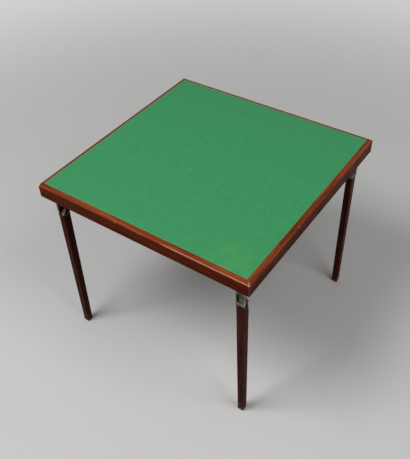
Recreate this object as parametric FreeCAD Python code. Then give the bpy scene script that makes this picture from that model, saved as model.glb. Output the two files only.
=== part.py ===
"""Folding game table: a baize top in a mitred wooden frame on four legs that fold up inside the frame.

Millimetres, +Z up, origin on the floor under the middle of the top. The front is the -Y side.
Everything at a corner is drawn once, at the front right corner (+X, -Y), and turned in quarters.
That corner's leg folds towards -X, along the front rail, about an axis that runs along Y.
"""
import FreeCAD, Part
import math
import os

from FreeCAD import Vector

# The table as a whole
table_side = 800.0
table_height = 690.0

# Rails of the frame: the border falls from the cloth to its outer edge in a shallow crown
frame_depth = 49.0
rail_thickness = 26.0
border_width = 16.0
border_drop = 4.7
border_crown = 1.1
arris_round = 1.6
corner_round = 4.0
rail_edge_round = 1.5

# Keys that hold the mitres, as shares of the rail that hides them
key_thickness = 3.0
key_length_share = 0.66
key_width_share = 0.44
key_fit = 0.05

# Playing surface
cloth_thickness = 1.0
panel_thickness = 6.0
panel_gap = 0.3

# Pins that hold the panel down, placed along each side as shares of half the panel
pin_radius = 0.8
pin_head_radius = 1.5
pin_head_height = 0.8
pin_length = 17.0
pin_fit = 0.05
pin_place_shares = (-0.75, -0.25, 0.25, 0.75)

# Wooden leg: constant thickness, and a width that tapers on the side towards which it folds
leg_thickness = 23.0
leg_top_width = 30.0
leg_foot_width = 21.5
leg_edge_round = 1.2
tenon_rise = 56.0
tenon_low_rise = 8.0
tenon_slope_rise = 20.0
tenon_flat = 12.0
rebate_rise = 12.5
rebate_step = 4.5
rebate_depth = 12.0
run_out_depth = 5.5
run_out_length = 36.0

# Foot glide
glide_radius = 7.5
glide_height = 3.0
glide_edge = 0.8

# Steel channel at the top of each leg
channel_sheet = 1.5
channel_length = 119.0
channel_corner = 4.0
channel_web_gap = 8.0
inner_cheek_rise = 50.0
flange_width = 5.5
window_width = 9.0
window_height = 32.0
window_rise = 15.0
window_setback = 2.5

# Rivets through the channel and the leg
rivet_radius = 2.5
rivet_head_radius = 4.0
rivet_head_height = 1.5
rivet_setback = 9.5
corner_rivet_rise = 8.0
spring_rivet_rise = 6.5
rivet_fit = 0.05

# Hinge bracket, its fits and its screws
bracket_sheet = 1.8
bracket_tail = 46.0
bracket_lift = 1.0
bracket_round = 6.0
hinge_play = 0.3
stop_play = 3.3
roof_play = 0.5
screw_radius = 1.5
screw_head_radius = 3.0
screw_head_height = 1.6
screw_length = 15.0
screw_tip = 3.0
screw_slot_width = 0.8
screw_slot_depth = 0.7
screw_spread = 15.0
screw_tail_margin = 9.0
screw_fit = 0.05

# Pivot
pivot_radius = 4.0
pivot_head_radius = 6.5
pivot_head_height = 2.2
pivot_head_round = 1.4
pivot_fit = 0.03
pivot_running_fit = 0.08
bush_wall = 1.6

# Catch: a leaf spring behind the outer cheek, with a nose that locks in the bracket, and its button
spring_thickness = 0.8
spring_tail = 4.5
spring_head = 3.2
spring_side_gap = 0.5
nose_radius = 2.2
nose_fit = 0.4
nose_tip_gap = 0.3
nose_tip_round = 0.6
catch_drop = 10.5
groove_depth = 6.5
groove_side_gap = 0.5
button_side_gap = 0.3
button_proud = 1.5
button_round = 0.7

# Cutting tools run this far past the faces they cut, and edges this near a line lie on it
overrun = 5.0
same_place = 0.001

long_edge_share = 0.6
quarter_turn = 90.0
corners = ("front_right", "back_right", "back_left", "front_left")
sides = ("front", "right", "back", "left")

# Heights and distances from the middle that several pieces share
half_side = table_side / 2
rail_inner = half_side - rail_thickness
lip_inner = half_side - border_width
rail_bottom = table_height - frame_depth
panel_top = table_height - cloth_thickness
panel_bottom = panel_top - panel_thickness
panel_half = lip_inner - panel_gap
border_edge_z = table_height - border_drop
ledge_middle = (rail_inner + lip_inner) / 2

# Layers across the hinge at the front right corner, as distances from the middle towards -Y
wall_face = rail_inner - bracket_sheet
cheek_outer = wall_face - hinge_play
wood_outer = cheek_outer - channel_sheet
wood_inner = wood_outer - leg_thickness
cheek_inner = wood_inner - channel_sheet
ear_outer = cheek_inner - hinge_play
ear_inner = ear_outer - bracket_sheet

# The leg in its folding plane
leg_side = rail_inner - bracket_sheet - stop_play
fold_side = leg_side - leg_top_width
hinge_radius = leg_top_width / 2
pivot_x = leg_side - hinge_radius
roof_face = panel_bottom - bracket_sheet
pivot_z = roof_face - roof_play - hinge_radius
channel_bottom = pivot_z - channel_length
bracket_bottom = rail_bottom + bracket_lift
bush_radius = pivot_radius + pivot_running_fit + bush_wall
tenon_top = channel_bottom + tenon_rise
slope_low = channel_bottom + tenon_low_rise
slope_high = slope_low + tenon_slope_rise
rebate_low = channel_bottom + rebate_rise

# The catch
window_left = fold_side + window_setback
catch_x = window_left + window_width / 2
window_low = channel_bottom + window_rise
spring_rivet_z = channel_bottom + spring_rivet_rise
spring_width = window_width - 2 * spring_side_gap
nose_z = pivot_z - catch_drop
cheek_hole_radius = nose_radius + nose_fit


def block(x_low, x_high, y_low, y_high, z_low, z_high):
    """A box between two values on each axis."""
    return Part.makeBox(x_high - x_low, y_high - y_low, z_high - z_low, Vector(x_low, y_low, z_low))


def rod(radius, start, length, direction):
    """A round bar from a point, along a direction."""
    return Part.makeCylinder(radius, length, start, direction)


def plate(points, y_low, y_high):
    """A flat piece with a straight-sided outline in X and Z, between two values of Y."""
    outline = [Vector(x, y_low, z) for x, z in points]
    face = Part.Face(Part.makePolygon(outline + outline[:1]))
    return face.extrude(Vector(0, y_high - y_low, 0))


def is_edge_at(edge, x=None, y=None, z=None):
    """Whether an edge lies at the given places, whatever its reach along the other axes."""
    box = edge.BoundBox
    spans = ((x, box.XMin, box.XMax), (y, box.YMin, box.YMax), (z, box.ZMin, box.ZMax))
    for place, low, high in spans:
        if place is not None and abs(low - place) + abs(high - place) > same_place:
            return False
    return True


def at_quarter(shape, turns):
    """A copy of a piece, turned about the table's middle by whole quarters."""
    copy = shape.copy()
    copy.rotate(Vector(0, 0, 0), Vector(0, 0, 1), quarter_turn * turns)
    return copy


def around(shape):
    """The four copies of a piece, one for each quarter turn."""
    return [at_quarter(shape, turns) for turns in range(len(corners))]


def rail_section():
    """Section of a rail, drawn where the front rail crosses the middle of the table."""
    def point(outward, height):
        return Vector(0, -outward, height)

    crown_out = (lip_inner + half_side) / 2
    crown_up = (table_height + border_edge_z) / 2 + border_crown
    top_inner = point(lip_inner, table_height)
    top_outer = point(half_side, border_edge_z)
    outer_low = point(half_side, rail_bottom + rail_edge_round)
    outer_foot = point(half_side - rail_edge_round, rail_bottom)
    inner_foot = point(rail_inner + rail_edge_round, rail_bottom)
    inner_low = point(rail_inner, rail_bottom + rail_edge_round)
    ledge_inner = point(rail_inner, panel_bottom)
    ledge_outer = point(lip_inner, panel_bottom)
    round_in = rail_edge_round * (1 - math.sqrt(1 / 2))
    outer_round = point(half_side - round_in, rail_bottom + round_in)
    inner_round = point(rail_inner + round_in, rail_bottom + round_in)
    edges = [
        Part.Arc(top_inner, point(crown_out, crown_up), top_outer).toShape(),
        Part.makeLine(top_outer, outer_low),
        Part.Arc(outer_low, outer_round, outer_foot).toShape(),
        Part.makeLine(outer_foot, inner_foot),
        Part.Arc(inner_foot, inner_round, inner_low).toShape(),
        Part.makeLine(inner_low, ledge_inner),
        Part.makeLine(ledge_inner, ledge_outer),
        Part.makeLine(ledge_outer, top_inner),
    ]
    return Part.Face(Part.Wire(edges))


def mitred_rail():
    """The front rail, cut at both ends along the mitres."""
    bar = rail_section().extrude(Vector(table_side, 0, 0))
    bar.translate(Vector(-half_side, 0, 0))
    arris = [edge for edge in bar.Edges if is_edge_at(edge, y=-half_side, z=border_edge_z)]
    bar = bar.makeFillet(arris_round, arris)
    inner = rail_inner - overrun
    plan = [
        Vector(-half_side, -half_side, 0),
        Vector(half_side, -half_side, 0),
        Vector(inner, -inner, 0),
        Vector(-inner, -inner, 0),
    ]
    wedge = Part.Face(Part.makePolygon(plan + plan[:1])).extrude(Vector(0, 0, table_height + overrun))
    return bar.common(wedge).common(rounded_square())


def rounded_square():
    """The table's outline in plan, with rounded corners, as a tall block."""
    whole = block(-half_side, half_side, -half_side, half_side, 0, table_height + overrun)
    uprights = [edge for edge in whole.Edges if edge.BoundBox.ZLength > table_height]
    return whole.makeFillet(corner_round, uprights)


def mitre_key(fit):
    """Thin wooden key across the front right mitre, inside both rails."""
    length = rail_thickness * key_length_share + 2 * fit
    width = rail_thickness * key_width_share + 2 * fit
    thickness = key_thickness + 2 * fit
    middle = half_side - rail_thickness / 2
    height = (rail_bottom + panel_bottom) / 2
    key = block(-length / 2, length / 2, -width / 2, width / 2, -thickness / 2, thickness / 2)
    key.rotate(Vector(0, 0, 0), Vector(0, 0, 1), quarter_turn / 2)
    key.translate(Vector(middle, -middle, height))
    return key


def panel_pin(place, fit):
    """One pin of the front side, through the panel into the rail's ledge, its head flush."""
    top = Vector(place, -ledge_middle, panel_top)
    down = Vector(0, 0, -1)
    shank = rod(pin_radius + fit, top, pin_length + fit, down)
    head = rod(pin_head_radius + fit, top, pin_head_height + fit, down)
    return shank.fuse(head).removeSplitter()


def panel_pins(fit):
    """The pins of all four sides."""
    places = [panel_half * share for share in pin_place_shares]
    return [turned for place in places for turned in around(panel_pin(place, fit))]


def screw(place, direction, fit):
    """A countersunk wood screw, its head flush at a place, pointing in a direction."""
    head_height = screw_head_height + fit
    head = Part.makeCone(screw_head_radius + fit, screw_radius + fit, head_height, place, direction)
    shank = rod(screw_radius + fit, place, screw_length - screw_tip, direction)
    tip_start = place + direction * (screw_length - screw_tip)
    tip = Part.makeCone(screw_radius + fit, 0, screw_tip + fit, tip_start, direction)
    return head.fuse([shank, tip]).removeSplitter()


def screw_seats():
    """Places and directions of the screws of the front right bracket."""
    middle_z = (bracket_bottom + roof_face) / 2
    tail_x = pivot_x - bracket_tail + screw_tail_margin
    stop_y = -(cheek_outer + cheek_inner) / 2
    seats = []
    for rise_z in (-screw_spread / 2, screw_spread / 2):
        rise = Vector(0, 0, rise_z)
        seats.append((Vector(tail_x, -wall_face, middle_z) + rise, Vector(0, -1, 0)))
        seats.append((Vector(rail_inner - bracket_sheet, stop_y, middle_z) + rise, Vector(1, 0, 0)))
    return seats


def bracket_screws():
    """The slotted screws of one bracket."""
    screws = []
    for place, direction in screw_seats():
        reach = screw_head_radius + overrun
        depth = Vector(abs(direction.x), abs(direction.y), 0) * screw_slot_depth
        along = Vector(abs(direction.y), abs(direction.x), 0) * reach
        across = Vector(0, 0, screw_slot_width / 2)
        low = place - depth - along - across
        high = place + depth + along + across
        slot = block(low.x, high.x, low.y, high.y, low.z, high.z)
        screws.append(screw(place, direction, 0).cut(slot))
    return screws


def hinge_bracket():
    """Pressed steel bracket in the corner: two walls on the rails, a roof and an inner ear."""
    tail_x = pivot_x - bracket_tail
    ear_x = pivot_x - hinge_radius
    wall = block(tail_x, rail_inner, -rail_inner, -wall_face, bracket_bottom, panel_bottom)
    stop_face = rail_inner - bracket_sheet
    stop = block(stop_face, rail_inner, -rail_inner, -ear_inner, bracket_bottom, panel_bottom)
    roof = block(ear_x, rail_inner, -rail_inner, -ear_inner, roof_face, panel_bottom)
    ear = block(ear_x, rail_inner, -ear_outer, -ear_inner, bracket_bottom, panel_bottom)
    lower_edges = [edge for edge in ear.Edges if is_edge_at(edge, x=ear_x, z=bracket_bottom)]
    ear = ear.makeFillet(bracket_round, lower_edges)
    tail_edges = [edge for edge in wall.Edges if is_edge_at(edge, x=tail_x, z=bracket_bottom)]
    tail_edges += [edge for edge in wall.Edges if is_edge_at(edge, x=tail_x, z=panel_bottom)]
    wall = wall.makeFillet(bracket_round, tail_edges)
    bracket = wall.fuse([stop, roof, ear]).removeSplitter()
    through = Vector(pivot_x, -rail_inner - overrun, pivot_z)
    depth = rail_inner - ear_inner + 2 * overrun
    holes = [rod(pivot_radius + pivot_fit, through, depth, Vector(0, 1, 0))]
    holes += [catch_hole(x, z, cheek_hole_radius) for x, z in catch_places()]
    holes += [screw(place, direction, screw_fit) for place, direction in screw_seats()]
    return bracket.cut(holes)


def catch_places():
    """X and Z of the nose with the leg open, and of the same nose with the leg folded."""
    aside = catch_x - pivot_x
    return (catch_x, nose_z), (pivot_x - catch_drop, pivot_z - aside)


def catch_hole(x, z, radius):
    """Hole for the nose through the outer cheek and the bracket's wall."""
    depth = rail_inner - wood_outer
    return rod(radius, Vector(x, -rail_inner, z), depth, Vector(0, 1, 0))


def pivot_pin():
    """Pin of the hinge, flush in the bracket's wall and headed inside its ear."""
    inward = Vector(0, 1, 0)
    shank = rod(pivot_radius, Vector(pivot_x, -rail_inner, pivot_z), rail_inner - ear_inner, inward)
    head = rod(pivot_head_radius, Vector(pivot_x, -ear_inner, pivot_z), pivot_head_height, inward)
    rim = [edge for edge in head.Edges if edge.BoundBox.YMin > -ear_inner + pivot_head_height / 2]
    head = head.makeFillet(pivot_head_round, rim[:1])
    return shank.fuse(head).removeSplitter()


def pivot_bush():
    """Sleeve on the pin that keeps the channel's cheeks apart."""
    start = Vector(pivot_x, -wood_outer, pivot_z)
    sleeve = rod(bush_radius, start, leg_thickness, Vector(0, 1, 0))
    return sleeve.cut(rod(pivot_radius + pivot_running_fit, start, leg_thickness, Vector(0, 1, 0)))


def rivet_places():
    """X and Z of the two rivets: one holds the catch spring, the other is near the corner side."""
    return (catch_x, spring_rivet_z), (leg_side - rivet_setback, channel_bottom + corner_rivet_rise)


def rivet_holes():
    """Holes for the rivets through the channel, the spring and the leg."""
    start_y = -cheek_outer - overrun
    length = cheek_outer - cheek_inner + 2 * overrun
    holes = []
    for x, z in rivet_places():
        holes.append(rod(rivet_radius + rivet_fit, Vector(x, start_y, z), length, Vector(0, 1, 0)))
    return holes


def rivet(x, z):
    """One rivet, with a domed head on the outer cheek and one on the wood."""
    length = cheek_outer - wood_inner
    bulge = (rivet_head_radius ** 2 + rivet_head_height ** 2) / (2 * rivet_head_height)
    turn = math.asin(rivet_head_radius / bulge) / 2
    flank = bulge * math.sin(turn)
    rise = rivet_head_height - bulge + bulge * math.cos(turn)
    low_pole = Vector(0, 0, -rivet_head_height)
    low_rim = Vector(rivet_head_radius, 0, 0)
    low_neck = Vector(rivet_radius, 0, 0)
    high_neck = Vector(rivet_radius, 0, length)
    high_rim = Vector(rivet_head_radius, 0, length)
    high_pole = Vector(0, 0, length + rivet_head_height)
    edges = [
        Part.Arc(low_pole, Vector(flank, 0, -rise), low_rim).toShape(),
        Part.makeLine(low_rim, low_neck),
        Part.makeLine(low_neck, high_neck),
        Part.makeLine(high_neck, high_rim),
        Part.Arc(high_rim, Vector(flank, 0, length + rise), high_pole).toShape(),
        Part.makeLine(high_pole, low_pole),
    ]
    turned = Part.Face(Part.Wire(edges)).revolve(Vector(0, 0, 0), Vector(0, 0, 1), 4 * quarter_turn)
    turned.rotate(Vector(0, 0, 0), Vector(1, 0, 0), -quarter_turn)
    turned.translate(Vector(x, -cheek_outer, z))
    return turned


def cheek(y_low, y_high, bottom):
    """One cheek of the channel, with a round top about the pivot."""
    flat = block(fold_side, leg_side, y_low, y_high, bottom, pivot_z)
    low_corner = [edge for edge in flat.Edges if is_edge_at(edge, x=leg_side, z=bottom)]
    flat = flat.makeFillet(channel_corner, low_corner)
    knuckle = rod(hinge_radius, Vector(pivot_x, y_low, pivot_z), y_high - y_low, Vector(0, 1, 0))
    return flat.fuse(knuckle)


def leg_channel():
    """Steel channel: an outer cheek with a narrow flange, a short inner cheek, a web on the fold side."""
    outer = cheek(-cheek_outer, -wood_outer, channel_bottom)
    inner = cheek(-wood_inner, -cheek_inner, channel_bottom + inner_cheek_rise)
    web_top = pivot_z - channel_web_gap
    web = block(fold_side, fold_side + channel_sheet, -cheek_outer, -wood_inner, channel_bottom, web_top)
    flange = block(leg_side - channel_sheet, leg_side, -cheek_outer, -cheek_outer + flange_width,
                   rebate_low, pivot_z - hinge_radius)
    channel = web.fuse([outer, inner, flange]).removeSplitter()
    start = Vector(pivot_x, -cheek_outer - overrun, pivot_z)
    depth = cheek_outer - cheek_inner + 2 * overrun
    pivot_hole = rod(pivot_radius + pivot_running_fit, start, depth, Vector(0, 1, 0))
    window = block(window_left, window_left + window_width, -cheek_outer, -wood_outer,
                   window_low, window_low + window_height)
    nose_hole = catch_hole(catch_x, nose_z, cheek_hole_radius)
    return channel.cut([pivot_hole, window, nose_hole] + rivet_holes())


def wooden_leg():
    """Tapered leg whose top fits in the channel, sloped on the corner side and cut away for the spring."""
    tenon_side = fold_side + channel_sheet
    outline = [
        (leg_side - leg_foot_width, glide_height),
        (leg_side, glide_height),
        (leg_side, slope_low),
        (tenon_side + tenon_flat, slope_high),
        (tenon_side + tenon_flat, tenon_top),
        (tenon_side, tenon_top),
        (tenon_side, channel_bottom),
        (fold_side, channel_bottom),
    ]
    leg = plate(outline, -wood_outer, -wood_inner)
    long_edges = [edge for edge in leg.Edges if edge.Length > channel_bottom * long_edge_share]
    leg = leg.makeFillet(leg_edge_round, long_edges)
    groove_right = window_left + window_width + groove_side_gap
    groove_low = spring_rivet_z - spring_tail - groove_side_gap
    groove = block(fold_side, groove_right, -wood_outer, -wood_outer + groove_depth,
                   groove_low, tenon_top)
    return leg.cut([groove, rebate(), run_out()] + rivet_holes())


def rebate():
    """Cutter for the room behind the outer cheek, which deepens up the slope and then runs straight up."""
    outline = [
        (-wood_outer, rebate_low),
        (-wood_outer + rebate_step, rebate_low),
        (-wood_outer + rebate_depth, slope_high),
        (-wood_outer + rebate_depth, tenon_top),
        (-wood_outer, tenon_top),
    ]
    points = [Vector(fold_side, y, z) for y, z in outline]
    return Part.Face(Part.makePolygon(points + points[:1])).extrude(Vector(leg_top_width, 0, 0))


def run_out():
    """Cutter for the chamfer that widens up the leg's inner corner edge until it meets the channel."""
    top = channel_bottom + tenon_low_rise
    corner = Vector(leg_side, -wood_inner, top)
    tip = Vector(leg_side, -wood_inner, channel_bottom - run_out_length)
    across = corner - Vector(run_out_depth, 0, 0)
    inward = corner - Vector(0, run_out_depth, 0)
    sides_of_wedge = (
        (tip, across, inward),
        (tip, corner, across),
        (tip, inward, corner),
        (corner, inward, across),
    )
    faces = [Part.Face(Part.makePolygon(points + points[:1])) for points in sides_of_wedge]
    return Part.Solid(Part.Shell(faces))


def foot_glide():
    """Flat round glide under the foot."""
    middle = Vector(leg_side - leg_foot_width / 2, -(wood_outer + wood_inner) / 2, 0)
    glide = rod(glide_radius, middle, glide_height, Vector(0, 0, 1))
    rim = [edge for edge in glide.Edges if edge.BoundBox.ZMax < glide_height / 2]
    return glide.makeChamfer(glide_edge, rim)


def catch_spring():
    """Leaf spring riveted behind the outer cheek, with the nose that locks the leg."""
    left = catch_x - spring_width / 2
    low = spring_rivet_z - spring_tail
    back = -wood_outer + spring_thickness
    leaf = block(left, left + spring_width, -wood_outer, back, low, nose_z + spring_head)
    tip_y = -rail_inner + nose_tip_gap
    nose = rod(nose_radius, Vector(catch_x, tip_y, nose_z), -wood_outer - tip_y, Vector(0, 1, 0))
    tip = [edge for edge in nose.Edges if edge.BoundBox.YMax < tip_y + nose_tip_round]
    nose = nose.makeChamfer(nose_tip_round, tip)
    return leaf.fuse(nose).cut(rivet_holes()).removeSplitter()


def release_button():
    """Button in the cheek's window; pressing it bends the spring and draws the nose out of the bracket."""
    button = block(window_left + button_side_gap, window_left + window_width - button_side_gap,
                   -cheek_outer - button_proud, -wood_outer,
                   window_low + button_side_gap, window_low + window_height - button_side_gap)
    front = [edge for edge in button.Edges if edge.BoundBox.YMax < -cheek_outer - button_proud / 2]
    return button.makeFillet(button_round, front)


def square_sheet(low, high):
    """A square sheet that fills the frame between two heights, clear of the rails."""
    return block(-panel_half, panel_half, -panel_half, panel_half, low, high)


def rails():
    """The four rails, slotted for the keys and bored for the screws and pins."""
    tools = around(mitre_key(key_fit)) + panel_pins(pin_fit)
    for place, direction in screw_seats():
        tools += around(screw(place, direction, screw_fit))
    return {side: rail.cut(tools) for side, rail in zip(sides, around(mitred_rail()))}


def build():
    """Every node of the table, by name."""
    nodes = {"playing_cloth": square_sheet(panel_top, table_height)}
    nodes["top_panel"] = square_sheet(panel_bottom, panel_top).cut(panel_pins(pin_fit))
    nodes["panel_pins"] = Part.makeCompound(panel_pins(0))
    for side, rail in rails().items():
        nodes["rail_" + side] = rail
    corner_pieces = {
        "mitre_key": mitre_key(0),
        "hinge_bracket": hinge_bracket(),
        "pivot_pin": pivot_pin(),
        "pivot_bush": pivot_bush(),
        "leg_channel": leg_channel(),
        "leg": wooden_leg(),
        "leg_rivets": Part.makeCompound([rivet(x, z) for x, z in rivet_places()]),
        "foot_glide": foot_glide(),
        "catch_spring": catch_spring(),
        "release_button": release_button(),
    }
    for name, piece in corner_pieces.items():
        for corner, turned in zip(corners, around(piece)):
            nodes[name + "_" + corner] = turned
    screws = [turned for one in bracket_screws() for turned in around(one)]
    nodes["bracket_screws"] = Part.makeCompound(screws)
    return nodes


def main():
    os.makedirs("parts", exist_ok=True)
    for name, shape in build().items():
        shape.exportStep(os.path.join("parts", name + ".step"))


main()
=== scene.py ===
"""Looks of the folding game table: baize, varnished wood, aged steel, and a plain studio round them.

Metres, +Z up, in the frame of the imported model. The front rail is the -Y one. Finishes of the rails and
legs are written for the front rail and the front right leg, and turned in quarters for the others.
"""

import math

import bmesh
import bpy
from mathutils import Matrix, Vector, noise


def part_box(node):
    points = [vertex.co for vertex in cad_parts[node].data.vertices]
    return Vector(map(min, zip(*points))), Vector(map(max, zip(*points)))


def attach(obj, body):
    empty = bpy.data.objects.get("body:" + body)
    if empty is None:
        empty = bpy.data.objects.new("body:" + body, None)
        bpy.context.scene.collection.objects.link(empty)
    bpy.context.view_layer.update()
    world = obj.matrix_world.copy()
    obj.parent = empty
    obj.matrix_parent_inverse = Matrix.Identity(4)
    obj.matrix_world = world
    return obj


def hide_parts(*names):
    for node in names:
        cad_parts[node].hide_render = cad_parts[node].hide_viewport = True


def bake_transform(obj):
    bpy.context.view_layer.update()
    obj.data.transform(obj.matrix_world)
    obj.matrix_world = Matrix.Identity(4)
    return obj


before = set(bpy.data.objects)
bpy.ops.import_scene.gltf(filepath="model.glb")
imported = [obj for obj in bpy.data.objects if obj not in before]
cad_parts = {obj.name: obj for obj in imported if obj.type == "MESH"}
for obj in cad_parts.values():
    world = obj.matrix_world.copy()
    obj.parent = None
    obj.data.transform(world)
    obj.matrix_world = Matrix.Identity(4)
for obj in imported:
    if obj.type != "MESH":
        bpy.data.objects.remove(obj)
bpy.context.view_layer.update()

# Sides and corners in the order of their quarter turns from the front and the front right
SIDES = ("front", "right", "back", "left")
CORNERS = ("front_right", "back_right", "back_left", "front_left")
QUARTER_TURN = math.pi / 2

# Camera, solved from the corners of the cloth and the feet in the photograph
CAMERA_PLACE = (0.9878, -1.3898, 1.9614)
CAMERA_AZIMUTH = math.radians(36.31)
CAMERA_ELEVATION = math.radians(42.80)
CAMERA_ROLL = math.radians(-2.36)
CAMERA_LENS = 50.05
CAMERA_SENSOR = 36.0

# Studio: what the camera sees of the floor and the air is paler than what lights the table
FLOOR_HALF = 14.0
FLOOR_TONE = (0.66, 0.66, 0.65)
FLOOR_BOUNCE = (0.20, 0.20, 0.20)
FLOOR_FADE = (1.0, 3.8)
FLOOR_ROUGHNESS = 0.9
FLOOR_SHINE = 0.1
SKY_TONE = (0.66, 0.66, 0.65)
SKY_LIGHT = (0.216, 0.216, 0.216)
LAMP_AIM = (0.0, 0.0, 0.5)
KEY_PLACE = (-0.9, -1.7, 3.5)
KEY_SIZE = 1.4
KEY_POWER = 79.0
FILL_PLACE = (2.0, -0.3, 3.1)
FILL_SIZE = 1.4
FILL_POWER = 31.0

# Places that the finishes follow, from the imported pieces
rail_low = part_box("rail_front")[0]
cloth_low, cloth_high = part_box("playing_cloth")
leg_low, leg_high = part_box("leg_front_right")
channel_low, channel_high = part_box("leg_channel_front_right")
HALF_SIDE = -rail_low.y
TABLE_TOP = cloth_high.z
CLOTH_HALF = cloth_high.x

# Sockets of a Mix node that mixes colours, and axes along which grain runs
MIX_SHARE, MIX_UNDER, MIX_OVER, MIX_RESULT = 0, 6, 7, 2
X_AXIS, Z_AXIS = 0, 2

# Below, a pattern is noise with a scale per metre. A range is two values between which something rises from
# 0 to 1, and where four numbers are given, the last two take the place of 0 and 1.

# Sharp edges: rays that feel for them, and how far the normal agrees with its rounded self near one
EDGE_SAMPLES = 6
EDGE_TURN = (0.82, 0.98, 1.0, 0.0)

# Wood grain, drawn out along the piece
GRAIN_STRETCH = 0.07
PORE_STRETCH = 0.035
RIBBON = {"scale": 70.0, "detail": 5.0, "roughness": 0.6, "distortion": 0.8}
RIBBON_STOPS = (0.30, 0.52, 0.72)
THREAD = {"scale": 420.0, "detail": 3.0, "roughness": 0.6}
THREAD_SHADES = (0.35, 0.70, 0.82, 1.10)
PORES = {"scale": 1500.0, "detail": 1.0}
PORE_RANGE = (0.60, 0.70)
PORE_SHARE = 0.5
RIBBON_HEIGHT = 0.25
PORE_DEPTH = 0.4
WOOD_RELIEF = 0.00005
VARNISH_SHINE = 0.02

# Rails: where in the wood each is cut, and their gloss
RAIL_GRAIN_START = (0.0, 0.0, 0.4)
RAIL_GRAIN_STEP = (3.1, 1.7, 0.0)
RAIL_SMEAR = {"scale": 26.0, "detail": 4.0}
RAIL_ROUGHNESS = (0.3, 0.7, 0.26, 0.42)
RAIL_WORN_ROUGHNESS = 0.3

# Rails: the arris is the upper outer edge, and its middle lies this far in and below the cloth. The pale
# wood laid along it is partly wear and partly a painted highlight, with a long stretch of it on the front
ARRIS_IN = 0.0013
ARRIS_DROP = 0.0057
ARRIS_WORN = 0.0011
ARRIS_SOUND = 0.0030
RUB_PATCHES = {"scale": 38.0, "detail": 5.0, "roughness": 0.7}
RUB_SHARES = (0.54, 0.66, 0.06, 0.5)
LONG_RUB = (0.085, 0.125)
LONG_RUB_SHARES = (0.3, 0.6, 0.75, 1.0)
SCUFF_REACH = 0.004
SCUFF_SHARE = 0.9
SCUFFS = {"front": (-0.076,), "right": (0.251, -0.12), "back": (0.18,), "left": (-0.21, 0.06)}

# Rails: the upright edge at each corner, the mitre, and chips with their place, reach and share. The corner
# tips and chips are partly worn and knocked wood and partly painted highlights
CORNER_WORN = 0.0022
CORNER_SOUND = 0.0046
CORNER_SHARES = (0.24, 0.95)
MITRE_LINE = 0.0002
MITRE_FADE = 0.0006
MITRE_SHARE = 0.7
CHIP_CORE_SHARE = 1 / 3
CORNER_CHIPS_AND_HIGHLIGHTS = (((0.3940, -0.3925, 0.6877), 0.0032, 0.7), ((0.3984, -0.3984, 0.6848), 0.0040, 1.0),
         ((-0.3980, -0.3965, 0.6854), 0.0060, 0.95))

# Rails: the border, which fades out below the cloth's top, and the side, which fades in about the arris
# Painted shade: the back and left borders much darker and the right one a little, as if turned away from the
# light
PAINTED_BORDER_SHADES = {"front": 1.0, "right": 0.92, "back": 0.56, "left": 0.56}
BORDER_FADE = (-0.004, -0.002)
# Painted shadow along the cloth under the lip of the front and right borders
LIP_SHADOW_SIDES = ("front", "right")
LIP_SHADOW_REACH = 0.0016
LIP_SHADOW_SHARE = 0.75
# Painted highlight along the cloth, where the lip's inner edge of the back and left borders catches the
# light
LIP_HIGHLIGHT_REACH = 0.0034
LIP_HIGHLIGHT_SHARE = 0.85
SIDE_FADE = (-0.002, 0.001)
# Painted shade: each rail's side darkens towards its lower edge, the right one most
PAINTED_SIDE_FOOT_SHADES = {"front": 0.80, "right": 0.42, "back": 0.80, "left": 0.80}

# Legs: where in the wood each is cut, their gloss, and their wear
LEG_GRAIN_START = (0.0, 0.7, 0.0)
LEG_GRAIN_STEP = (2.3, 0.0, 1.9)
LEG_SMEAR = {"scale": 30.0, "detail": 4.0}
LEG_ROUGHNESS = (0.3, 0.7, 0.30, 0.46)
LEG_WORN_ROUGHNESS = 0.25
LEG_PATCHES = {"scale": 120.0, "detail": 4.0}
LEG_EDGE_REACH = 0.0012
LEG_EDGE_SHARES = (0.40, 0.62, 0.05, 0.4)
FOOT_SCUFF_TOP = 0.09
FOOT_SCUFF_RANGE = (0.52, 0.64)
FOOT_SCUFF_SHARE = 0.45

# Legs: the sloped top of the wood, from the corner side up to the upright part of the tenon
SLOPE_LOW_RISE = 0.008
SLOPE_RISE = 0.020
SLOPE_RUN = 0.0165
SLOPE_SKIN = 0.0007
# The end grain shows darker beside the outer steel and paler away from it, least pale on the front right leg
SLOPE_PALE_RANGE = (0.011, 0.017)
SLOPE_DARK_SHARE = 0.1
SLOPE_PALE_SHARES = {"front_right": 0.3, "back_right": 0.9, "back_left": 0.9, "front_left": 0.9}
RINGS = {"scale": 700.0, "detail": 3.0}
RING_STRETCH = (0.3, 1.0, 0.3)
RING_SHADES = (0.35, 0.65, 0.62, 1.08)

# Plywood of the panel and the mitre keys
PLY_GRAIN_START = (0.3, 2.2, 0.0)
PLY_STOPS = (0.3, 0.5, 0.7)
PLY_THREAD_SHARES = (0.4, 0.7, 0.0, 0.25)
PLY_PORE_SHARE = 0.4
PLY_THREAD_HEIGHT = 0.4
PLY_ROUGHNESS = (0.3, 0.7, 0.62, 0.78)
PLY_RELIEF = 0.0002

# Steel: stains, rubbed edges and fine scratches
STEEL_CLOUD = {"scale": 90.0, "detail": 5.0, "roughness": 0.65}
STEEL_STOPS = (0.35, 0.62)
STEEL_SPOTS = {"scale": 420.0, "detail": 3.0}
STEEL_SPOT_RANGE = (0.58, 0.68)
STEEL_SPOT_SHARE = 0.5
STEEL_SPOT_DEPTH = 0.5
STEEL_EDGE_REACH = 0.0014
STEEL_EDGE_SHARES = (0.3, 0.6, 0.3, 0.9)
SCRATCHES = {"scale": 1800.0, "detail": 2.0}
SCRATCH_STRETCH = (1.0, 1.0, 0.08)
SCRATCH_ROUGHNESS = 0.12
SCRATCH_HEIGHT = 0.5
STEEL_ROUGHNESS = (0.3, 0.7, 0.50, 0.34)
STEEL_RELIEF = 0.00002

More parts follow.
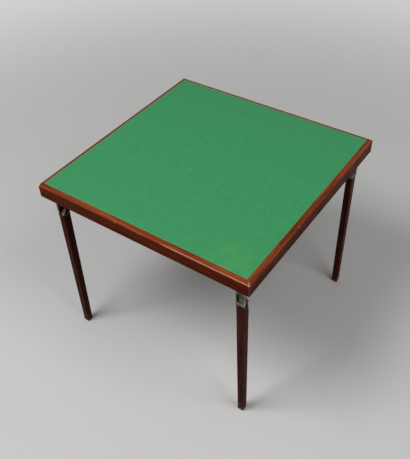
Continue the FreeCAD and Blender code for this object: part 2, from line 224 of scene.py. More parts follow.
# Channels: the flange on the corner side, pale from its lower end upwards: partly rubbed plating and partly
# a painted highlight
FLANGE_SKIN = 0.0016
FLANGE_LOW_RISE = 0.0125
FLANGE_PALE_RISE = 0.018
FLANGE_PALE_SHARES = (1.0, 0.15)

# Buttons: black enamel and its chips
ENAMEL_CLOUD = {"scale": 160.0, "detail": 3.0}
ENAMEL_STOPS = (0.3, 0.7)
ENAMEL_ROUGHNESS = (0.3, 0.7, 0.40, 0.56)
ENAMEL_SHINE = 0.08
ENAMEL_CHIPS = {"scale": 520.0, "detail": 4.0, "roughness": 0.7}
ENAMEL_CHIP_RANGE = (0.64, 0.70)
ENAMEL_CHIP_SHARE = 0.6
ENAMEL_CHIP_DEPTH = 0.00004

# Catch springs: the length below the button where a spring bends, and the cuts across that length
LEAF_BEND = 0.006
LEAF_CUTS = 8
LEAF_MERGE = 0.000001
SHARP_ANGLE = math.radians(40)

# Baize: its sheet
CLOTH_CELLS = 64
CLOTH_EDGE_ROUND = 0.0006
CLOTH_EDGE_STEPS = 3
CLOTH_EDGE_ANGLE = math.radians(45)
CLOTH_WAVE = 0.00012
CLOTH_WAVES_PER_METRE = 7.0

# Baize: mottling, nap and fibres
MOTTLE = {"scale": 42.0, "detail": 5.0, "roughness": 0.65}
MOTTLE_STOPS = (0.30, 0.50, 0.72)
NAP = {"scale": 900.0, "detail": 4.0, "roughness": 0.7, "distortion": 1.2}
NAP_STRETCH = (0.3, 1.0, 1.0)
NAP_SHADES = (0.3, 0.7, 0.86, 1.12)
NAP_HEIGHT = 0.6
FIBRE = {"scale": 2600.0, "detail": 2.0, "distortion": 2.0}
FIBRE_SHADES = (0.3, 0.7, 0.90, 1.10)
FIBRE_HEIGHT = 0.4
CLOTH_RELIEF = 0.0006
CLOTH_ROUGHNESS = 0.95
CLOTH_SHINE = 0.1
SHEEN_WEIGHT = 0.12
SHEEN_ROUGHNESS = 0.5

# Baize: the pressed rim, the faded corner, a stain and a speck of lint
RIM_REACH = (-0.0025, -0.0005)
RIM_SHARE = 0.35
FADE_PLACE = (0.309, -0.339)
FADE_REACH = 0.13
FADE_SHARE = 0.7
FADE_CLOUD = {"scale": 30.0, "detail": 4.0}
FADE_CLOUD_SHARES = (0.35, 0.65, 0.2, 0.8)
STAIN_PLACE = (0.065, 0.082)
STAIN_REACH = (0.0015, 0.005)
STAIN_SHARE = 0.4
LINT_PLACE = (-0.032, -0.071)
LINT_REACH = (0.001, 0.003)
LINT_SHARE = 0.6


def tone(red, green, blue):
    """A colour of the screen, 0 to 255, as the light that a shader takes."""
    def linear(value):
        value /= 255
        return value / 12.92 if value <= 0.04045 else ((value + 0.055) / 1.055) ** 2.4

    return linear(red), linear(green), linear(blue), 1.0


# Colours
VARNISH_TINT = tone(255, 170, 140)
# Bare wood of worn varnish, also laid on as a painted highlight along the rails' arris and corners, and
# paler wood for chips and painted highlights at the corner tips
BARE_WOOD_AND_HIGHLIGHT = tone(198, 136, 108)
CHIP_AND_HIGHLIGHT_WOOD = tone(218, 178, 158)
END_GRAIN = tone(150, 138, 120)
# Dark grime in the mitre joints, and the painted shadow along the cloth
JOINT_GRIME_AND_LIP_SHADOW = tone(34, 14, 9)
# Painted highlight of the lip's lit inner edge
PAINTED_LIP_HIGHLIGHT = tone(150, 148, 108)
RAIL_TONES = (tone(91, 37, 20), tone(135, 64, 35), tone(159, 84, 50))
# Painted shade on the rails' sides: a darker, redder multiply below the arris
RAIL_SIDE_SHADE_AND_TINT = (0.62, 0.42, 0.34, 1.0)
LEG_TONES = (tone(47, 22, 17), tone(76, 34, 26), tone(99, 48, 36))
PLY_TONES = (tone(140, 104, 70), tone(168, 130, 90), tone(184, 148, 106))
PLY_THREAD = tone(128, 92, 60)
PLY_PORE = tone(96, 68, 44)
CLOTH_TONES = (tone(56, 139, 90), tone(60, 143, 92), tone(65, 146, 91))
CLOTH_PRESSED = tone(130, 152, 106)
CLOTH_FADED = tone(80, 152, 84)
CLOTH_DARK = tone(36, 112, 70)
LINT = tone(190, 205, 180)
SHEEN = tone(170, 215, 170)
RIVET_VARNISH = tone(62, 30, 22)
ENAMEL = (tone(10, 9, 9), tone(19, 18, 17))
CHIPPED_ENAMEL = tone(84, 78, 72)

# Colours of steel: clean, stained and rubbed
# Rubbed plating, also laid on the channels' flanges as a painted highlight
PLATING_RUB_AND_HIGHLIGHT = tone(190, 184, 174)
PLATING = (tone(112, 109, 101), tone(68, 63, 56), PLATING_RUB_AND_HIGHLIGHT)
RIVET_STEEL = (tone(140, 135, 126), tone(88, 80, 72), PLATING_RUB_AND_HIGHLIGHT)
SPRING_STEEL = (tone(84, 84, 92), tone(52, 48, 50), tone(130, 128, 130))
GLIDE_STEEL = (tone(120, 116, 110), tone(70, 62, 54), tone(170, 166, 158))


class Finish:
    """The nodes of one material. Lengths are metres, and patterns follow the place on the object."""

    def __init__(self, name, turns=0):
        self.material = bpy.data.materials.new(name)
        self.material.use_nodes = True
        self.tree = self.material.node_tree
        self.shader = self.tree.nodes["Principled BSDF"]
        place = self.add("TexCoord").outputs["Object"]
        self.place = self.mapped(place, turn=-turns * QUARTER_TURN) if turns else place
        axes = self.add("SeparateXYZ", {"Vector": self.place})
        self.x, self.y, self.z = axes.outputs

    def add(self, kind, inputs=None, **settings):
        """A new node, with its settings and what feeds its sockets."""
        node = self.tree.nodes.new("ShaderNode" + kind)
        for name, value in settings.items():
            setattr(node, name, value)
        for name, value in (inputs or {}).items():
            self.feed(node.inputs[name], value)
        return node

    def feed(self, socket, value):
        """Links a socket to another, or sets it to a constant."""
        if isinstance(value, bpy.types.NodeSocket):
            self.tree.links.new(value, socket)
        else:
            socket.default_value = value

    def set(self, **values):
        """Feeds the shader: spaces in a socket's name are written as underscores."""
        for name, value in values.items():
            self.feed(self.shader.inputs[name.replace("_", " ")], value)

    def mapped(self, place, scale=(1, 1, 1), shift=(0, 0, 0), turn=0.0):
        """A place stretched, moved and turned about the upright axis."""
        inputs = {"Vector": place, "Scale": scale, "Location": shift, "Rotation": (0, 0, turn)}
        return self.add("Mapping", inputs).outputs["Vector"]

    def noise(self, place, scale, detail=3.0, roughness=0.5, distortion=0.0):
        """A cloudy pattern, from 0 to 1 and mostly near a half."""
        inputs = {"Vector": place, "Scale": scale, "Detail": detail}
        inputs.update({"Roughness": roughness, "Distortion": distortion})
        return self.add("TexNoise", inputs).outputs["Fac"]

    def math(self, operation, first, second=0.0):
        """One step of arithmetic on one or two values."""
        node = self.add("Math", operation=operation)
        self.feed(node.inputs[0], first)
        self.feed(node.inputs[1], second)
        return node.outputs[0]

    def product(self, first, *others):
        """All the values multiplied."""
        for other in others:
            first = self.math("MULTIPLY", first, other)
        return first

    def most(self, first, *others):
        """The largest of the values."""
        for other in others:
            first = self.math("MAXIMUM", first, other)
        return first

    def off(self, value, middle):
        """How far a value is from a middle, either way."""
        return self.math("ABSOLUTE", self.math("SUBTRACT", value, middle))

    def between(self, value, low, high, to_low=0.0, to_high=1.0):
        """Rises smoothly from one value to another as the input goes from low to high."""
        inputs = {"Value": value, "From Min": low, "From Max": high, "To Min": to_low, "To Max": to_high}
        return self.add("MapRange", inputs, interpolation_type="SMOOTHSTEP").outputs["Result"]

    def distance(self, first, second):
        """Length of the slant over two steps at right angles."""
        return self.math("SQRT", self.math("ADD", self.product(first, first), self.product(second, second)))

    def distance_to(self, spot):
        """Distance in plan from a point."""
        return self.distance(self.math("SUBTRACT", self.x, spot[0]), self.math("SUBTRACT", self.y, spot[1]))

    def from_point(self, point):
        """Distance in space from a point."""
        node = self.add("VectorMath", operation="DISTANCE")
        self.feed(node.inputs[0], self.place)
        self.feed(node.inputs[1], point)
        return node.outputs["Value"]

    def edge(self, reach):
        """1 along sharp edges and 0 on open faces, from how far the normal turns within a reach."""
        rounded = self.add("Bevel", {"Radius": reach}, samples=EDGE_SAMPLES).outputs["Normal"]
        plain = self.add("NewGeometry").outputs["Normal"]
        turned = self.add("VectorMath", operation="DOT_PRODUCT")
        self.feed(turned.inputs[0], rounded)
        self.feed(turned.inputs[1], plain)
        return self.between(turned.outputs["Value"], *EDGE_TURN)

    def mix(self, share, under, over, mode="MIX"):
        """One colour laid over another by a share."""
        node = self.add("Mix", data_type="RGBA", blend_type=mode)
        self.feed(node.inputs[MIX_SHARE], share)
        self.feed(node.inputs[MIX_UNDER], under)
        self.feed(node.inputs[MIX_OVER], over)
        return node.outputs[MIX_RESULT]

    def shaded(self, colour, share):
        """A colour made darker or lighter by a factor."""
        factor = self.add("CombineXYZ", {"X": share, "Y": share, "Z": share}).outputs[0]
        return self.mix(1.0, colour, factor, "MULTIPLY")

    def ramp(self, value, stops, colours):
        """A colour that goes from one to the next as the value passes each stop."""
        node = self.add("ValToRGB", {"Fac": value})
        elements = node.color_ramp.elements
        elements.remove(elements[1])
        elements[0].position, elements[0].color = stops[0], colours[0]
        for position, colour in zip(stops[1:], colours[1:]):
            elements.new(position).color = colour
        return node.outputs["Color"]

    def bump(self, height, distance):
        """The normal over a relief, whose height of 1 stands a distance proud."""
        return self.add("Bump", {"Height": height, "Distance": distance}).outputs["Normal"]


def cut_from(start, step, turns):
    """Where in the wood a piece is cut, so that no two of them show the same grain."""
    return [first + turns * further for first, further in zip(start, step)]


def grain_of(finish, along, shift):
    """Ribbon, thread and pores of a wood whose grain runs along one axis."""
    stretch = [1.0, 1.0, 1.0]
    stretch[along] = GRAIN_STRETCH
    dash = [1.0, 1.0, 1.0]
    dash[along] = PORE_STRETCH
    long_way = finish.mapped(finish.place, scale=stretch, shift=shift)
    pore_way = finish.mapped(finish.place, scale=dash, shift=shift)
    ribbon = finish.noise(long_way, **RIBBON)
    thread = finish.noise(long_way, **THREAD)
    pores = finish.between(finish.noise(pore_way, **PORES), *PORE_RANGE)
    return ribbon, thread, pores


def varnished_wood(finish, along, shift, tones):
    """Sets the wood's gloss and relief, and returns its colour for wear to be laid on."""
    ribbon, thread, pores = grain_of(finish, along, shift)
    colour = finish.ramp(ribbon, RIBBON_STOPS, tones)
    colour = finish.shaded(colour, finish.between(thread, *THREAD_SHADES))
    colour = finish.mix(finish.product(pores, PORE_SHARE), colour, tones[0])
    height = finish.math("SUBTRACT", finish.product(ribbon, RIBBON_HEIGHT),
                         finish.product(pores, PORE_DEPTH))
    finish.set(Normal=finish.bump(height, WOOD_RELIEF))
    finish.set(Specular_IOR_Level=VARNISH_SHINE, Specular_Tint=VARNISH_TINT)
    return colour


def arris_wear_and_highlight(finish, side, out):
    """Where the arris is pale, partly rubbed bare and partly a painted highlight along the edge: in patches,
    at a few scuffs, and along a stretch of the front.
    """
    from_arris = finish.distance(finish.math("SUBTRACT", out, HALF_SIDE - ARRIS_IN),
                                 finish.math("SUBTRACT", finish.z, TABLE_TOP - ARRIS_DROP))
    near = finish.between(from_arris, ARRIS_WORN, ARRIS_SOUND, 1.0, 0.0)
    patches = finish.noise(finish.place, **RUB_PATCHES)
    rubbed = finish.between(patches, *RUB_SHARES)
    if side == "front":
        stretch = finish.between(finish.x, *LONG_RUB)
        rubbed = finish.most(rubbed, finish.product(stretch, finish.between(patches, *LONG_RUB_SHARES)))
    worn = finish.product(near, rubbed)
    for place in SCUFFS[side]:
        spot = finish.distance(finish.math("SUBTRACT", finish.x, place), from_arris)
        worn = finish.most(worn, finish.between(spot, 0.0, SCUFF_REACH, SCUFF_SHARE, 0.0))
    return worn


def corner_wear_and_highlight(finish, along, out):
    """Pale wood on the tip of each corner, partly worn bare and partly a painted highlight, and less of it
    down the upright edge.
    """
    from_corner = finish.distance(finish.math("SUBTRACT", along, HALF_SIDE),
                                  finish.math("SUBTRACT", out, HALF_SIDE))
    near = finish.between(from_corner, CORNER_WORN, CORNER_SOUND, 1.0, 0.0)
    high = finish.between(finish.z, TABLE_TOP - 2 * ARRIS_DROP, TABLE_TOP - ARRIS_DROP, *CORNER_SHARES)
    return finish.product(near, high)


def chips_and_highlights(finish, turns):
    """Small pale spots at the corners, partly knocks down to pale wood and partly painted highlights on the
    tips.
    """
    bare = 0.0
    for place, reach, share in CORNER_CHIPS_AND_HIGHLIGHTS:
        turned = Matrix.Rotation(-turns * QUARTER_TURN, 3, "Z") @ Vector(place)
        spot = finish.between(finish.from_point(turned), CHIP_CORE_SHARE * reach, reach, share, 0.0)
        bare = finish.most(spot, bare)
    return bare


def inner_edge(finish, side, out, colour):
    """Along the cloth: a painted shadow under the border's lip on the front and right borders, and a painted
    highlight of the lip's lit inner edge on the other two.
    """
    on_top = finish.between(finish.z, *(TABLE_TOP + shift for shift in BORDER_FADE))
    if side in LIP_SHADOW_SIDES:
        # Painted shadow under the lip
        lip_shadow = finish.between(out, CLOTH_HALF, CLOTH_HALF + LIP_SHADOW_REACH, LIP_SHADOW_SHARE, 0.0)
        return finish.mix(finish.product(lip_shadow, on_top), colour, JOINT_GRIME_AND_LIP_SHADOW)
    # Painted highlight on the lip's inner edge
    rubbed = finish.between(out, CLOTH_HALF + LIP_HIGHLIGHT_REACH / 2, CLOTH_HALF + LIP_HIGHLIGHT_REACH, LIP_HIGHLIGHT_SHARE, 0.0)
    return finish.mix(finish.product(rubbed, on_top), colour, PAINTED_LIP_HIGHLIGHT)


def rail_finish(side, turns):
    """Amber-red varnish with painted shade on the sides and far borders, painted shadow and highlight along
    the cloth, and edges partly worn and partly painted highlight.
    """
    finish = Finish("rail_varnish_" + side, turns)
    colour = varnished_wood(finish, X_AXIS, cut_from(RAIL_GRAIN_START, RAIL_GRAIN_STEP, turns), RAIL_TONES)
    along = finish.math("ABSOLUTE", finish.x)
    out = finish.product(finish.y, -1.0)
    arris = TABLE_TOP - ARRIS_DROP
    below = finish.between(finish.z, *(arris + shift for shift in SIDE_FADE), 1.0, 0.0)
    # Painted shade on the border, per side
    colour = finish.shaded(colour, finish.between(below, 0.0, 1.0, PAINTED_BORDER_SHADES[side], 1.0))
    # Painted shade: the side below the arris is darkened and reddened
    colour = finish.mix(below, colour, RAIL_SIDE_SHADE_AND_TINT, "MULTIPLY")
    # Painted shade towards the lower edge of the side
    colour = finish.shaded(colour, finish.between(finish.z, rail_low.z, arris, PAINTED_SIDE_FOOT_SHADES[side], 1.0))
    colour = inner_edge(finish, side, out, colour)
    worn = finish.most(arris_wear_and_highlight(finish, side, out), corner_wear_and_highlight(finish, along, out))
    # Pale wood on the arris and corner tips: partly wear, partly painted highlight
    colour = finish.mix(worn, colour, BARE_WOOD_AND_HIGHLIGHT)
    mitre = finish.between(finish.off(along, out), MITRE_LINE, MITRE_FADE, MITRE_SHARE, 0.0)
    colour = finish.mix(mitre, colour, JOINT_GRIME_AND_LIP_SHADOW)
    # Pale spots at the corner tips: partly chips, partly painted highlights
    colour = finish.mix(chips_and_highlights(finish, turns), colour, CHIP_AND_HIGHLIGHT_WOOD)
    smear = finish.between(finish.noise(finish.place, **RAIL_SMEAR), *RAIL_ROUGHNESS)
    roughness = finish.math("ADD", smear, finish.product(worn, RAIL_WORN_ROUGHNESS))
    finish.set(Base_Color=colour, Roughness=roughness)
    return finish.material


def slope_skin(finish, corner):
    """How much pale end grain shows on the sloped top of a leg, where the wood is cut across its grain: less
    beside the steel.
    """
    low = Vector((leg_high.x, 0.0, channel_low.z + SLOPE_LOW_RISE))
    high = low + Vector((-SLOPE_RUN, 0.0, SLOPE_RISE))
    across = (high - low).cross(Vector((0.0, 1.0, 0.0))).normalized()
    reach = finish.math("ADD", finish.product(finish.x, across.x), finish.product(finish.z, across.z))
    on_plane = finish.between(finish.off(reach, across.dot(low)), SLOPE_SKIN / 2, SLOPE_SKIN, 1.0, 0.0)
    above = finish.between(finish.z, low.z, low.z + SLOPE_SKIN)
    below = finish.between(finish.z, high.z, high.z + SLOPE_SKIN, 1.0, 0.0)
    clean = finish.between(finish.y, *(leg_low.y + reach_in for reach_in in SLOPE_PALE_RANGE),
                           SLOPE_DARK_SHARE, SLOPE_PALE_SHARES[corner])
    return finish.product(on_plane, above, below, clean)


def leg_finish(corner, turns):
    """Darker varnish, scuffed at the foot and along its edges, with bare end grain on the sloped top."""
    finish = Finish("leg_varnish_" + corner, turns)
    colour = varnished_wood(finish, Z_AXIS, cut_from(LEG_GRAIN_START, LEG_GRAIN_STEP, turns), LEG_TONES)
    patches = finish.noise(finish.place, **LEG_PATCHES)
    low = finish.between(finish.z, 0.0, FOOT_SCUFF_TOP, FOOT_SCUFF_SHARE, 0.0)
    scuffed = finish.product(finish.between(patches, *FOOT_SCUFF_RANGE), low)
    edges = finish.product(finish.edge(LEG_EDGE_REACH), finish.between(patches, *LEG_EDGE_SHARES))
    worn = finish.most(scuffed, edges)
    colour = finish.mix(worn, colour, BARE_WOOD_AND_HIGHLIGHT)
    rings = finish.noise(finish.mapped(finish.place, scale=RING_STRETCH), **RINGS)
    cut = finish.shaded(END_GRAIN, finish.between(rings, *RING_SHADES))
    colour = finish.mix(slope_skin(finish, corner), colour, cut)
    smear = finish.between(finish.noise(finish.place, **LEG_SMEAR), *LEG_ROUGHNESS)
    roughness = finish.math("ADD", smear, finish.product(worn, LEG_WORN_ROUGHNESS))
    finish.set(Base_Color=colour, Roughness=roughness)
    return finish.material


def cloth_marks(finish, colour):
    """Lays on the pressed rim, the faded corner, a small stain and a speck of lint."""
    reach = finish.most(finish.math("ABSOLUTE", finish.x), finish.math("ABSOLUTE", finish.y))
    rim = finish.between(reach, *(CLOTH_HALF + shift for shift in RIM_REACH), 0.0, RIM_SHARE)
    colour = finish.mix(rim, colour, CLOTH_PRESSED)
    cloud = finish.between(finish.noise(finish.place, **FADE_CLOUD), *FADE_CLOUD_SHARES)
    faded = finish.between(finish.distance_to(FADE_PLACE), 0.0, FADE_REACH, FADE_SHARE, 0.0)
    colour = finish.mix(finish.product(faded, cloud), colour, CLOTH_FADED)
    stain = finish.between(finish.distance_to(STAIN_PLACE), *STAIN_REACH, STAIN_SHARE, 0.0)
    colour = finish.mix(stain, colour, CLOTH_DARK)
    lint = finish.between(finish.distance_to(LINT_PLACE), *LINT_REACH, LINT_SHARE, 0.0)
    return finish.mix(lint, colour, LINT)


def baize_finish():
    """Napped wool: fine fibres that lie one way, and a faint mottling."""
    finish = Finish("green_baize")
    colour = finish.ramp(finish.noise(finish.place, **MOTTLE), MOTTLE_STOPS, CLOTH_TONES)
    nap = finish.noise(finish.mapped(finish.place, scale=NAP_STRETCH), **NAP)
    fibre = finish.noise(finish.place, **FIBRE)
    colour = finish.shaded(colour, finish.between(nap, *NAP_SHADES))
    colour = finish.shaded(colour, finish.between(fibre, *FIBRE_SHADES))
    colour = cloth_marks(finish, colour)
    height = finish.math("ADD", finish.product(nap, NAP_HEIGHT), finish.product(fibre, FIBRE_HEIGHT))
    finish.set(Base_Color=colour, Normal=finish.bump(height, CLOTH_RELIEF), Roughness=CLOTH_ROUGHNESS)
    finish.set(Sheen_Weight=SHEEN_WEIGHT, Sheen_Roughness=SHEEN_ROUGHNESS, Sheen_Tint=SHEEN)
    finish.set(Specular_IOR_Level=CLOTH_SHINE)
    return finish.material


def old_steel(finish, tones):
    """Sets the gloss and relief of old steel, and returns its colour: stained, with rubbed edges."""
    clean, stained, rubbed = tones
    cloud = finish.noise(finish.place, **STEEL_CLOUD)
    spots = finish.between(finish.noise(finish.place, **STEEL_SPOTS), *STEEL_SPOT_RANGE)
    colour = finish.ramp(cloud, STEEL_STOPS, (stained, clean))
    colour = finish.mix(finish.product(spots, STEEL_SPOT_SHARE), colour, stained)
    edges = finish.product(finish.edge(STEEL_EDGE_REACH), finish.between(cloud, *STEEL_EDGE_SHARES))
    colour = finish.mix(edges, colour, rubbed)
    scratches = finish.noise(finish.mapped(finish.place, scale=SCRATCH_STRETCH), **SCRATCHES)
    roughness = finish.math("ADD", finish.between(cloud, *STEEL_ROUGHNESS),
                            finish.product(scratches, SCRATCH_ROUGHNESS))
    height = finish.math("SUBTRACT", finish.product(scratches, SCRATCH_HEIGHT),
                         finish.product(spots, STEEL_SPOT_DEPTH))
    finish.set(Roughness=roughness, Metallic=1.0, Normal=finish.bump(height, STEEL_RELIEF))
    return colour


def steel_finish(name, tones):
    """Old plated or blued steel."""
    finish = Finish(name)
    finish.set(Base_Color=old_steel(finish, tones))
    return finish.material


def channel_finish(corner, turns):
    """Old plating on a leg's channel, pale along its flange and most at the flange's lower end: partly
    rubbed and partly a painted highlight.
    """
    finish = Finish("channel_plating_" + corner, turns)
    colour = old_steel(finish, PLATING)
    face = channel_high.x - FLANGE_SKIN
    low = channel_low.z + FLANGE_LOW_RISE
    flange = finish.product(finish.between(finish.x, face, face + FLANGE_SKIN / 4),
                            finish.between(finish.z, low, low + FLANGE_PALE_RISE, *FLANGE_PALE_SHARES))
    # Painted highlight and rub on the flange, brightest at its lower end
    finish.set(Base_Color=finish.mix(flange, colour, PLATING_RUB_AND_HIGHLIGHT))
    return finish.material


def rivet_finish(corner, turns):
    """Rivets: steel heads on the outside, and heads varnished over with the wood on the inside."""
    finish = Finish("rivet_steel_" + corner, turns)
    colour = old_steel(finish, RIVET_STEEL)
    varnished = finish.math("GREATER_THAN", finish.y, (leg_low.y + leg_high.y) / 2)
    colour = finish.mix(varnished, colour, RIVET_VARNISH)
    finish.set(Base_Color=colour, Metallic=finish.math("SUBTRACT", 1.0, varnished))
    return finish.material


def enamel_finish():
    """Black enamel on the buttons, chipped to the steel in places."""
    finish = Finish("button_enamel")
    chipped = finish.between(finish.noise(finish.place, **ENAMEL_CHIPS), *ENAMEL_CHIP_RANGE)
    cloud = finish.noise(finish.place, **ENAMEL_CLOUD)
    colour = finish.ramp(cloud, ENAMEL_STOPS, ENAMEL)
    colour = finish.mix(finish.product(chipped, ENAMEL_CHIP_SHARE), colour, CHIPPED_ENAMEL)
    height = finish.math("SUBTRACT", 1.0, chipped)
    finish.set(Base_Color=colour, Roughness=finish.between(cloud, *ENAMEL_ROUGHNESS))
    finish.set(Specular_IOR_Level=ENAMEL_SHINE, Normal=finish.bump(height, ENAMEL_CHIP_DEPTH))
    return finish.material


def plywood_finish():
    """Plain plywood of the panel under the baize, seen from below, and of the mitre keys."""
    finish = Finish("panel_plywood")
    ribbon, thread, pores = grain_of(finish, X_AXIS, PLY_GRAIN_START)
    colour = finish.ramp(ribbon, PLY_STOPS, PLY_TONES)
    colour = finish.mix(finish.between(thread, *PLY_THREAD_SHARES), colour, PLY_THREAD)
    colour = finish.mix(finish.product(pores, PLY_PORE_SHARE), colour, PLY_PORE)
    height = finish.math("SUBTRACT", finish.product(thread, PLY_THREAD_HEIGHT), pores)
    finish.set(Base_Color=colour, Roughness=finish.between(ribbon, *PLY_ROUGHNESS))
    finish.set(Normal=finish.bump(height, PLY_RELIEF))
    return finish.material


def dress(node, material):
    """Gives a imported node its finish."""
    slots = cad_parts[node].data.materials
    slots.clear()
    slots.append(material)


def dress_packed_nodes():
    """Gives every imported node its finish, apart from the cloth and the catch springs."""
    plating = steel_finish("aged_plating", PLATING)
    glide = steel_finish("dull_glide", GLIDE_STEEL)
    enamel = enamel_finish()
    plywood = plywood_finish()
    for turns, side in enumerate(SIDES):
        dress("rail_" + side, rail_finish(side, turns))
    for turns, corner in enumerate(CORNERS):
        dress("leg_" + corner, leg_finish(corner, turns))
        for piece in ("hinge_bracket", "pivot_pin", "pivot_bush"):
            dress(piece + "_" + corner, plating)
        dress("leg_channel_" + corner, channel_finish(corner, turns))
        dress("leg_rivets_" + corner, rivet_finish(corner, turns))
        dress("foot_glide_" + corner, glide)
        dress("release_button_" + corner, enamel)
        dress("mitre_key_" + corner, plywood)
    for node in ("panel_pins", "bracket_screws"):
        dress(node, plating)
    dress("top_panel", plywood)


def made_object(name, shape, material):
    """An object in the scene from a finished shape, at the origin, with its place in its mesh."""
    mesh = bpy.data.meshes.new(name)
    shape.to_mesh(mesh)
    shape.free()
    mesh.materials.append(material)
    piece = bpy.data.objects.new(name, mesh)
    bpy.context.scene.collection.objects.link(piece)
    return piece


def smooth(piece):
    """Shades all the faces of a piece smooth."""
    for face in piece.data.polygons:
        face.use_smooth = True


def catch_leaf(corner, finish):
    """A catch spring, cut across the length where it bends between its rivet and its button."""
    node = "catch_spring_" + corner
    bend_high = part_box("release_button_" + corner)[0].z
    bend_low = bend_high - LEAF_BEND
    shape = bmesh.new()
    shape.from_mesh(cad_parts[node].data)
    bmesh.ops.remove_doubles(shape, verts=shape.verts[:], dist=LEAF_MERGE)
    for step in range(LEAF_CUTS + 1):
        cut = (0, 0, bend_low + LEAF_BEND * step / LEAF_CUTS)
        leaf = shape.verts[:] + shape.edges[:] + shape.faces[:]
        bmesh.ops.bisect_plane(shape, geom=leaf, plane_co=cut, plane_no=(0, 0, 1))
    piece = made_object("catch_leaf_" + corner, shape, finish)
    smooth(piece)
    piece.data.set_sharp_from_angle(angle=SHARP_ANGLE)
    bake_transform(piece)
    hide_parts(node)


def is_upper_rim(edge):
    """True for an edge where the cloth's upper face meets its sides."""
    ends = [vert.co.z for vert in edge.verts]
    upper = min(ends) > cloth_low.z + CLOTH_EDGE_ROUND / 2 and abs(ends[0] - ends[1]) < CLOTH_EDGE_ROUND
    return upper and edge.is_manifold and edge.calc_face_angle() > CLOTH_EDGE_ANGLE


def baize():
    """The cloth: a thin sheet glued to the panel, soft at its edges."""
    shape = bmesh.new()
    bmesh.ops.create_grid(shape, x_segments=CLOTH_CELLS, y_segments=CLOTH_CELLS, size=CLOTH_HALF)
    bmesh.ops.translate(shape, verts=shape.verts, vec=(0, 0, cloth_low.z))
    lifted = bmesh.ops.extrude_face_region(shape, geom=shape.faces[:], use_keep_orig=True)["geom"]
    top = [piece for piece in lifted if isinstance(piece, bmesh.types.BMVert)]
    bmesh.ops.translate(shape, verts=top, vec=(0, 0, cloth_high.z - cloth_low.z))
    for vert in top:
        spot = Vector((vert.co.x, vert.co.y, 0.0)) * CLOTH_WAVES_PER_METRE
        vert.co.z += CLOTH_WAVE * (noise.noise(spot) - 1)
    rim = [edge for edge in shape.edges if is_upper_rim(edge)]
    bmesh.ops.bevel(shape, geom=rim, offset=CLOTH_EDGE_ROUND, segments=CLOTH_EDGE_STEPS, profile=0.5,
                    affect="EDGES", material=-1)
    bmesh.ops.recalc_face_normals(shape, faces=shape.faces[:])
    piece = made_object("baize", shape, baize_finish())
    smooth(piece)
    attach(piece, "top")
    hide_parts("playing_cloth")


def seen_directly(tree):
    """1 for what the camera sees itself, in a reflection or through glass, and 0 for light on the object."""
    path = tree.nodes.new("ShaderNodeLightPath")
    seen = path.outputs["Is Camera Ray"]
    for ray in ("Is Glossy Ray", "Is Transmission Ray"):
        either = tree.nodes.new("ShaderNodeMath")
        either.operation = "MAXIMUM"
        tree.links.new(seen, either.inputs[0])
        tree.links.new(path.outputs[ray], either.inputs[1])
        seen = either.outputs[0]
    return seen


def stage_tone(tree, pale, dim):
    """A colour that the camera and reflections see pale, and that lights the object as a dim one."""
    mix = tree.nodes.new("ShaderNodeMix")
    mix.data_type = "RGBA"
    tree.links.new(seen_directly(tree), mix.inputs[MIX_SHARE])
    mix.inputs[MIX_UNDER].default_value = (*dim, 1.0)
    mix.inputs[MIX_OVER].default_value = (*pale, 1.0)
    return mix.outputs[MIX_RESULT]


def far_share(tree):
    """Rises from 0 near the table to 1 far out on the floor, for what is seen directly."""
    place = tree.nodes.new("ShaderNodeTexCoord").outputs["Object"]
    length = tree.nodes.new("ShaderNodeVectorMath")
    length.operation = "LENGTH"
    tree.links.new(place, length.inputs[0])
    fade = tree.nodes.new("ShaderNodeMapRange")
    fade.interpolation_type = "SMOOTHSTEP"
    tree.links.new(length.outputs["Value"], fade.inputs["Value"])
    fade.inputs["From Min"].default_value, fade.inputs["From Max"].default_value = FLOOR_FADE
    share = tree.nodes.new("ShaderNodeMath")
    share.operation = "MULTIPLY"
    tree.links.new(fade.outputs["Result"], share.inputs[0])
    tree.links.new(seen_directly(tree), share.inputs[1])
    return share.outputs[0]


def floor_paint():
    """Matt pale paint that turns into the pale air far off."""
    material = bpy.data.materials.new("floor_paint")
    material.use_nodes = True
    tree = material.node_tree
    shader = tree.nodes["Principled BSDF"]
    tree.links.new(stage_tone(tree, FLOOR_TONE, FLOOR_BOUNCE), shader.inputs["Base Color"])
    shader.inputs["Roughness"].default_value = FLOOR_ROUGHNESS
    shader.inputs["Specular IOR Level"].default_value = FLOOR_SHINE
    air = tree.nodes.new("ShaderNodeEmission")
    air.inputs["Color"].default_value = (*SKY_TONE, 1.0)
    mix = tree.nodes.new("ShaderNodeMixShader")
    tree.links.new(far_share(tree), mix.inputs[0])
    tree.links.new(shader.outputs[0], mix.inputs[1])
    tree.links.new(air.outputs[0], mix.inputs[2])
    tree.links.new(mix.outputs[0], tree.nodes["Material Output"].inputs["Surface"])
    return material


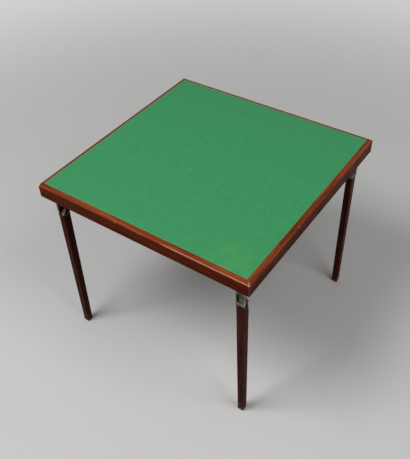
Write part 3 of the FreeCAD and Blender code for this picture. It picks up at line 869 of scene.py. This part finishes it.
def floor():
    """Plain pale floor that keeps the table's shadow."""
    shape = bmesh.new()
    bmesh.ops.create_grid(shape, x_segments=1, y_segments=1, size=FLOOR_HALF)
    made_object("floor", shape, floor_paint())


def sky():
    """Even soft light from all round."""
    world = bpy.data.worlds.new("studio")
    world.use_nodes = True
    background = world.node_tree.nodes["Background"]
    world.node_tree.links.new(stage_tone(world.node_tree, SKY_TONE, SKY_LIGHT), background.inputs["Color"])
    bpy.context.scene.world = world


def softbox(name, place, size, power):
    """A large square lamp that faces the table."""
    lamp = bpy.data.lights.new(name, "AREA")
    lamp.shape = "SQUARE"
    lamp.size = size
    lamp.energy = power
    piece = bpy.data.objects.new(name, lamp)
    piece.location = place
    piece.rotation_mode = "QUATERNION"
    piece.rotation_quaternion = (Vector(LAMP_AIM) - Vector(place)).to_track_quat("-Z", "Y")
    bpy.context.scene.collection.objects.link(piece)


def camera():
    """The photograph's viewpoint."""
    cos_elevation = math.cos(CAMERA_ELEVATION)
    back = Vector((math.sin(CAMERA_AZIMUTH) * cos_elevation, -math.cos(CAMERA_AZIMUTH) * cos_elevation,
                   math.sin(CAMERA_ELEVATION)))
    level = Vector((math.cos(CAMERA_AZIMUTH), math.sin(CAMERA_AZIMUTH), 0.0))
    upright = back.cross(level)
    right = level * math.cos(CAMERA_ROLL) + upright * math.sin(CAMERA_ROLL)
    up = back.cross(right)
    lens = bpy.data.cameras.new("camera")
    lens.lens = CAMERA_LENS
    lens.sensor_width = CAMERA_SENSOR
    piece = bpy.data.objects.new("camera", lens)
    piece.matrix_world = Matrix.Translation(CAMERA_PLACE) @ Matrix((right, up, back)).transposed().to_4x4()
    bpy.context.scene.collection.objects.link(piece)
    bpy.context.scene.camera = piece


def main():
    """Dresses the table and sets it in the studio."""
    dress_packed_nodes()
    spring = steel_finish("blued_spring", SPRING_STEEL)
    for corner in CORNERS:
        catch_leaf(corner, spring)
    baize()
    floor()
    sky()
    softbox("key", KEY_PLACE, KEY_SIZE, KEY_POWER)
    softbox("fill", FILL_PLACE, FILL_SIZE, FILL_POWER)
    camera()
    bpy.context.scene.view_settings.view_transform = "Standard"


main()
